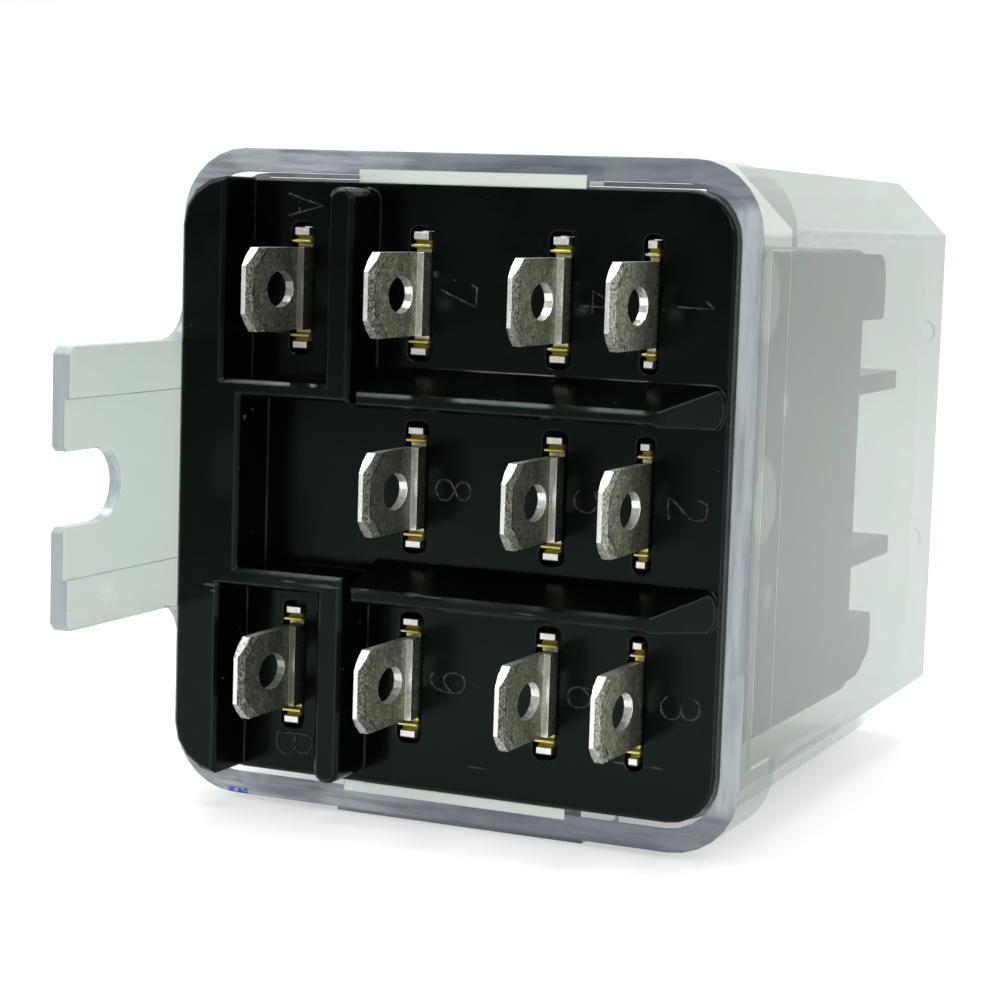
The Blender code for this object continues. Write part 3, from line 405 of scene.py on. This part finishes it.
def clear_plastic():
    """Clear moulded cover: each wall tints and hazes once, and its edges get a painted reflection
    in violet-grey.
    """
    n = Nodes("clear_plastic")
    wave = n.bump(n.noise(6.0, 1), 0.008, 0.25, n.edge_round(0.2))
    fres = n.add("ShaderNodeFresnel")
    fres.inputs["IOR"].default_value = INDEX_OF_REFRACTION
    n.put(fres.inputs["Normal"], wave)
    rings, fold = wall_marks(n)
    on_ear = n.ramp(n.local("Y"), -0.2, -0.5)
    outer = n.math("MAXIMUM", on_ear, n.math("MULTIPLY", facing_out(n), collar_thinning(n)))
    tint = n.mix(n.noise(9.0, 2), (0.29, 0.33, 0.30), (0.33, 0.345, 0.335))
    tint = n.mix(on_ear, tint, (0.42, 0.47, 0.43))
    clear = n.simple("ShaderNodeBsdfTransparent", Color=n.mix(outer, (0.96, 0.97, 0.96), tint))
    gloss = n.simple("ShaderNodeBsdfGlossy", Color=(0.92, 0.98, 0.93), Roughness=0.06, Normal=wave)
    pale = n.simple("ShaderNodeBsdfDiffuse", Color=n.mix(
        n.ramp(n.noise(5.0, 2), 0.35, 0.65), (0.50, 0.66, 0.52), (0.63, 0.61, 0.66)))
    haze = n.ramp(n.local("Z"), -14.0, 4.0, FOG * 0.75, FOG)
    fog = n.math("MULTIPLY", n.math("ADD", haze, n.math("MULTIPLY", rings, 0.10)), outer)
    wall = n.blend(fog, clear, pale)
    # Darker lines along the folded corners, drawn with a grey diffuse: painted refraction.
    shade = n.simple("ShaderNodeBsdfDiffuse", Color=(0.34, 0.37, 0.40))
    wall = n.blend(n.math("MULTIPLY", fold, 0.30), wall, shade)
    shine = n.math("MULTIPLY", fres.outputs[0], n.ramp(outer, 0.0, 1.0, 0.25, 0.9))
    wall = n.blend(shine, wall, gloss)
    height = n.math("ABSOLUTE", n.local("Z"))
    ahead = n.math("MULTIPLY", n.ramp(n.math("MULTIPLY", n.normal("Y"), -1.0), 0.55, 0.80),
                   n.ramp(n.local("Y"), 4.0, 3.0))
    tip = n.ramp(n.local("Y"), -12.9, -13.3)
    rim = n.math("MAXIMUM", ahead, n.math("MULTIPLY", on_ear, n.ramp(
        n.math("ABSOLUTE", n.normal("Z")), 0.35, 0.6)))
    # The rim and the ear's edges are mostly an opaque painted reflection, darker at the ear's tip.
    edges = n.mix(n.math("MULTIPLY", tip, 0.6), rim_tone(n, height), (0.22, 0.26, 0.27))
    lit = n.principled(Base_Color=edges, Roughness=0.22, Normal=wave)
    shown = n.blend(rim, wall, n.blend(0.90, clear, lit))
    behind = n.add("ShaderNodeNewGeometry").outputs["Backfacing"]
    inner = n.simple("ShaderNodeBsdfTransparent", Color=(0.985, 0.99, 0.985))
    return n.finish(n.blend(behind, shown, inner))


def metal(name, colour, dark, roughness, grain=0.3):
    """A plain metal with a slight change of tone and gloss over its surface."""
    n = Nodes(name)
    tone = n.mix(n.noise(grain, 4), dark, colour)
    rough = n.ramp(n.noise(grain * 2, 3), 0.3, 0.7, roughness * 0.8, roughness * 1.3)
    return n.finish(n.principled(Base_Color=tone, Metallic=1.0, Roughness=rough,
                                 Normal=n.bump(n.noise(grain * 0.4, 3), 0.005, 0.4)))


def dull(name, colour, dark, roughness, grain=0.4):
    """A plain plastic or film with a fine grain."""
    n = Nodes(name)
    tone = n.mix(n.noise(grain, 4), dark, colour)
    rough = n.ramp(n.noise(grain * 2, 3), 0.3, 0.7, roughness * 0.85, roughness * 1.15)
    return n.finish(n.principled(Base_Color=tone, Roughness=rough,
                                 Normal=n.bump(n.noise(grain * 0.5, 3), 0.01, 0.4)))


MATERIALS = {
    "black_phenolic": black_phenolic(),
    "nickel_plate": plated_brass(),
    "clear_plastic": clear_plastic(),
    "zinc_steel": metal("zinc_steel", (0.62, 0.62, 0.60), (0.45, 0.45, 0.44), 0.3),
    "spring_steel": metal("spring_steel", (0.5, 0.5, 0.5), (0.3, 0.3, 0.3), 0.3),
    "spring_brass": metal("spring_brass", (0.78, 0.62, 0.32), (0.6, 0.45, 0.2), 0.28),
    "silver_contact": metal("silver_contact", (0.9, 0.89, 0.86), (0.7, 0.69, 0.66), 0.25),
    "enamelled_copper": metal("enamelled_copper", (0.6, 0.25, 0.11), (0.4, 0.14, 0.06), 0.3),
    "copper_braid": metal("copper_braid", (0.7, 0.4, 0.22), (0.4, 0.2, 0.1), 0.45, 0.15),
    "lead_sleeve": dull("lead_sleeve", (0.5, 0.06, 0.05), (0.35, 0.04, 0.03), 0.45),
    "coil_tape": dull("coil_tape", (0.72, 0.64, 0.28), (0.6, 0.5, 0.2), 0.35),
    "bobbin_nylon": dull("bobbin_nylon", (0.75, 0.73, 0.65), (0.62, 0.6, 0.52), 0.4),
    "brown_phenolic": dull("brown_phenolic", (0.17, 0.08, 0.035), (0.1, 0.045, 0.02), 0.5),
}


def smoothing_group():
    """Smooths the facets of round faces and keeps flats, slight bevels and corners sharp."""
    group = bpy.data.node_groups.new("smooth_rounds", "GeometryNodeTree")
    for way in ("INPUT", "OUTPUT"):
        group.interface.new_socket("Geometry", in_out=way, socket_type="NodeSocketGeometry")
    nodes = group.nodes
    start = nodes.new("NodeGroupInput")
    end = nodes.new("NodeGroupOutput")
    faces = nodes.new("GeometryNodeSetShadeSmooth")
    edges = nodes.new("GeometryNodeSetShadeSmooth")
    edges.domain = "EDGE"
    edges.inputs["Shade Smooth"].default_value = False
    angle = nodes.new("GeometryNodeInputMeshEdgeAngle")
    fold = nodes.new("FunctionNodeCompare")
    fold.data_type = "FLOAT"
    fold.operation = "GREATER_THAN"
    fold.inputs["B"].default_value = math.radians(SHARPEST_ROUND)
    links = group.links
    links.new(start.outputs[0], faces.inputs["Geometry"])
    links.new(faces.outputs[0], edges.inputs["Geometry"])
    links.new(angle.outputs["Unsigned Angle"], fold.inputs["A"])
    links.new(fold.outputs[0], edges.inputs["Selection"])
    links.new(edges.outputs[0], end.inputs[0])
    return group


SMOOTHING = smoothing_group()
SLOT_OF = {part["node"]: part["material_slot"] for part in frame["record"]["subparts"]}
for node_name, node in NODES.items():
    node.data.materials.clear()
    node.data.materials.append(MATERIALS[SLOT_OF[node_name]])
    node.modifiers.new("smooth_rounds", "NODES").node_group = SMOOTHING
    weighted = node.modifiers.new("flat_faces_stay_flat", "WEIGHTED_NORMAL")
    weighted.keep_sharp = True


# ------------------------------------------------------------- moulded numbers
# Each stroke is a run of (along the reading direction, up the figure), both from 0 to 1.
GLYPHS = {
    "1": [[(0.25, 0.75), (0.55, 1.0), (0.55, 0.0)]],
    "2": [[(0.05, 0.75), (0.2, 0.97), (0.5, 1.0), (0.85, 0.95), (0.95, 0.72), (0.8, 0.5),
           (0.05, 0.0), (1.0, 0.0)]],
    "3": [[(0.0, 0.85), (0.25, 1.0), (0.7, 1.0), (0.95, 0.8), (0.8, 0.58), (0.4, 0.53)],
          [(0.4, 0.53), (0.85, 0.48), (1.0, 0.25), (0.75, 0.02), (0.3, 0.0), (0.0, 0.15)]],
    "4": [[(0.7, 0.0), (0.7, 1.0), (0.0, 0.3), (1.0, 0.3)]],
    "5": [[(0.95, 1.0), (0.15, 1.0), (0.08, 0.55), (0.5, 0.64), (0.92, 0.5), (0.98, 0.22),
           (0.75, 0.02), (0.3, 0.0), (0.0, 0.12)]],
    "6": [[(0.9, 0.92), (0.55, 1.0), (0.2, 0.85), (0.03, 0.45), (0.12, 0.1), (0.5, 0.0),
           (0.88, 0.1), (0.95, 0.35), (0.8, 0.56), (0.45, 0.6), (0.06, 0.4)]],
    "7": [[(0.0, 0.85), (0.1, 1.0), (1.0, 1.0), (0.3, 0.0)]],
    "8": [[(0.5, 0.54), (0.15, 0.66), (0.12, 0.88), (0.5, 1.0), (0.88, 0.88), (0.85, 0.66),
           (0.5, 0.54), (0.08, 0.38), (0.08, 0.12), (0.5, 0.0), (0.92, 0.12), (0.92, 0.38),
           (0.5, 0.54)]],
    "9": [[(0.1, 0.08), (0.45, 0.0), (0.8, 0.15), (0.97, 0.55), (0.88, 0.9), (0.5, 1.0),
           (0.12, 0.9), (0.05, 0.65), (0.2, 0.44), (0.55, 0.4), (0.94, 0.6)]],
    "A": [[(0.0, 0.0), (0.5, 1.0), (1.0, 0.0)], [(0.2, 0.32), (0.4, 0.32)],
          [(0.6, 0.32), (0.8, 0.32)]],
    "B": [[(0.0, 0.0), (0.0, 1.0), (0.65, 1.0), (0.88, 0.78), (0.65, 0.55), (0.0, 0.55)],
          [(0.65, 0.55), (0.98, 0.3), (0.7, 0.0), (0.0, 0.0)]],
}


def rounded(stroke):
    """The stroke with its bends eased into curves; corners of straight figures stay sharp."""
    ends = [stroke[0], *stroke, stroke[-1]]
    points = []
    for before, start, end, after in zip(ends, ends[1:], ends[2:], ends[3:]):
        for k in range(CURVE_STEPS):
            t = k / CURVE_STEPS
            points.append(tuple(
                0.5 * (2 * b + (c - a) * t + (2 * a - 5 * b + 4 * c - d) * t ** 2
                       + (3 * b - a - 3 * c + d) * t ** 3)
                for a, b, c, d in zip(before, start, end, after)))
    return points + [stroke[-1]]


def make_glyph(label, centre_x, centre_z):
    """One moulded figure, half sunk in the base floor, reading downwards."""
    curve = bpy.data.curves.new("figure_" + label, "CURVE")
    curve.dimensions = "3D"
    curve.bevel_depth = STROKE_RADIUS * MM
    curve.bevel_resolution = 2
    curve.use_fill_caps = True
    for stroke in GLYPHS[label]:
        if label in ROUND_FIGURES:
            stroke = rounded(stroke)
        spline = curve.splines.new("POLY")
        spline.points.add(len(stroke) - 1)
        for point, (along, up) in zip(spline.points, stroke):
            x = centre_x + (up - 0.5) * GLYPH_HEIGHT
            z = centre_z - (along - 0.5) * GLYPH_WIDTH
            point.co = (*at(x, BASE_FLOOR_Y, z), 1.0)
    figure = bpy.data.objects.new("figure_" + label, curve)
    bpy.context.scene.collection.objects.link(figure)
    curve.materials.append(FIGURE_FINISH)
    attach(figure, BODY)


def figure_finish():
    """The base's black moulding, painted paler in random patches on the figures as a painted
    highlight.
    """
    n = Nodes("figure_black")
    sheen_and_gloss = n.noise(0.3, 3)
    colour = n.mix(n.ramp(sheen_and_gloss, 0.35, 0.65), (0.003, 0.004, 0.0035), (0.03, 0.033, 0.031))
    return n.finish(n.principled(Base_Color=colour, Roughness=n.ramp(sheen_and_gloss, 0.3, 0.7, 0.2, 0.35),
                                 Specular_IOR_Level=0.35))


FIGURE_FINISH = figure_finish()
for label in LABELS:
    low, high = (Vector(corner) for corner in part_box("terminal_" + label))
    middle_z = ((low.z + high.z) / 2 - MID_Z) / MM
    if label in "AB":
        side = 1 if label == "A" else -1
        make_glyph(label, COIL_FIGURE_X, middle_z + side * COIL_FIGURE_Z)
    else:
        face_x = BLADE_FACES[label] / MM
        make_glyph(label, face_x + FIGURE_OFFSET_X, middle_z)


def make_slot_shade_web(label, face_x, middle_z):
    """A thin black web that closes a slot round its terminal: a dark sheet put in as painted
    shade.
    """
    left = face_x - BLADE_T
    right = face_x if face_x == NC_FACE_X else face_x + DOUBLER_T
    outer = SLOT_CLEARANCE
    sides = [((left - outer, -ROOT_HALF_Z), (left - SLIT, ROOT_HALF_Z)),
             ((right + SLIT, -ROOT_HALF_Z), (right + outer, ROOT_HALF_Z))]
    for side in (1, -1):
        ends = sorted((side * (ROOT_HALF_Z + SLIT), side * (ROOT_HALF_Z + outer)))
        sides.append(((left - outer, ends[0]), (right + outer, ends[1])))
    shape = bmesh.new()
    for low, high in sides:
        place = at((low[0] + high[0]) / 2, WEB_Y, middle_z + (low[1] + high[1]) / 2)
        size = ((high[0] - low[0]) * MM, WEB_THICK * MM, (high[1] - low[1]) * MM, 1.0)
        bmesh.ops.create_cube(shape, size=1.0,
                              matrix=Matrix.Translation(place) @ Matrix.Diagonal(size))
    mesh = bpy.data.meshes.new("slot_shade_web_" + label)
    shape.to_mesh(mesh)
    shape.free()
    mesh.materials.append(MATERIALS["black_phenolic"])
    web = bpy.data.objects.new("slot_shade_web_" + label, mesh)
    bpy.context.scene.collection.objects.link(web)
    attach(web, BODY)


for label in LABELS:
    low, high = (Vector(corner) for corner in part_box("terminal_" + label))
    make_slot_shade_web(label, round(BLADE_FACES[label] / MM, 2),
                    ((low.z + high.z) / 2 - MID_Z) / MM)


# ----------------------------------------------------------------------- stage
def make_floor():
    """A pale, glowing floor (painted light), painted greyer far in front of the relay as painted
    shade, that curves up into a backdrop.
    """
    shape = bmesh.new()
    rise = BACKDROP_RADIUS
    profile = [(-FLOOR_REACH, 0.0), (FLOOR_BACK, 0.0)]
    for k in range(1, BACKDROP_STEPS + 1):
        turn = math.pi / 2 * k / BACKDROP_STEPS
        profile.append((FLOOR_BACK + rise * math.sin(turn), rise - rise * math.cos(turn)))
    profile.append((FLOOR_BACK + rise, BACKDROP_TOP))
    rows = [[shape.verts.new((x, y, z)) for y, z in profile]
            for x in (-FLOOR_REACH, FLOOR_REACH)]
    for k in range(len(profile) - 1):
        face = shape.faces.new((rows[0][k], rows[1][k], rows[1][k + 1], rows[0][k + 1]))
        face.smooth = True
    mesh = bpy.data.meshes.new("floor")
    shape.to_mesh(mesh)
    shape.free()
    floor = bpy.data.objects.new("floor", mesh)
    bpy.context.scene.collection.objects.link(floor)
    n = Nodes("floor_paper")
    reached = n.ramp(n.local("Y"), -160.0, -60.0)
    tone = n.mix(n.noise(30.0, 2), (0.40, 0.405, 0.40), (0.43, 0.43, 0.43))
    # Far in front the floor is painted grey and glows less: painted shade.
    tone = n.mix(reached, (0.28, 0.28, 0.28), tone)
    glow = n.math("ADD", 0.12, n.math("MULTIPLY", reached, 0.35))
    paper = n.principled(Base_Color=tone, Roughness=0.8, Emission_Color=(1.0, 1.0, 1.0),
                         Emission_Strength=glow)
    mesh.materials.append(n.finish(paper))


def area_light(name, place, target, size, power):
    """A white rectangular light, in metres and watts, that faces its target."""
    data = bpy.data.lights.new(name, "AREA")
    data.shape = "RECTANGLE"
    data.size, data.size_y = size
    data.energy = power
    light = bpy.data.objects.new(name, data)
    light.location = place
    light.rotation_mode = "QUATERNION"
    light.rotation_quaternion = (Vector(target) - Vector(place)).to_track_quat("-Z", "Y")
    bpy.context.scene.collection.objects.link(light)


def make_world():
    """Soft white all round, dimmer in front so that the black base stays black."""
    world = bpy.data.worlds.new("studio")
    bpy.context.scene.world = world
    world.use_nodes = True
    tree = world.node_tree
    coords = tree.nodes.new("ShaderNodeTexCoord")
    split = tree.nodes.new("ShaderNodeSeparateXYZ")
    tree.links.new(coords.outputs["Generated"], split.inputs[0])
    level = tree.nodes.new("ShaderNodeMapRange")
    level.interpolation_type = "SMOOTHSTEP"
    tree.links.new(split.outputs["Y"], level.inputs["Value"])
    for key, number in (("From Min", -0.75), ("From Max", 0.45), ("To Min", 0.18),
                        ("To Max", 0.95)):
        level.inputs[key].default_value = number
    background = tree.nodes["Background"]
    background.inputs["Color"].default_value = (0.96, 0.98, 1.0, 1.0)
    tree.links.new(level.outputs[0], background.inputs["Strength"])


def make_lights():
    """Soft light from above, both sides and behind, and a small one for glints on crests."""
    target = (0.0, -0.01, MID_Z)
    area_light("top_soft", (-0.10, 0.10, 0.75), target, (0.7, 0.7), 8.0)
    area_light("top_glint", (-0.34, -0.085, 0.75), target, (0.12, 0.12), 1.0)
    area_light("left_soft", (-0.7, -0.45, 0.45), target, (0.3, 0.5), 3.0)
    area_light("front_right", (0.55, -0.60, 0.45), target, (0.35, 0.35), 5.0)
    area_light("back_soft", (0.1, 0.7, 0.6), (0, 0.4, 0.1), (0.9, 0.5), 2.0)


def make_camera():
    """The camera looks at the terminals from their right, a little above."""
    turn, tilt, roll = (math.radians(a) for a in CAMERA_ANGLES)
    ahead = Vector((-math.sin(turn) * math.cos(tilt), math.cos(turn) * math.cos(tilt),
                    -math.sin(tilt)))
    level = Vector((math.cos(turn), math.sin(turn), 0.0))
    upward = level.cross(ahead)
    side = math.cos(roll) * level + math.sin(roll) * upward
    up = -math.sin(roll) * level + math.cos(roll) * upward
    data = bpy.data.cameras.new("camera")
    data.lens = CAMERA_LENS
    data.sensor_width = SENSOR_WIDTH
    data.clip_start = 0.01
    data.clip_end = 10.0
    camera = bpy.data.objects.new("camera", data)
    turned = Matrix((side, up, -ahead)).transposed().to_4x4()
    camera.matrix_world = Matrix.Translation(at(*CAMERA_PLACE)) @ turned
    bpy.context.scene.collection.objects.link(camera)
    bpy.context.scene.camera = camera


make_floor()
make_world()
make_lights()
make_camera()
scene = bpy.context.scene
scene.view_settings.view_transform = "Standard"
scene.cycles.transparent_max_bounces = 32

bpy.context.view_layer.update()
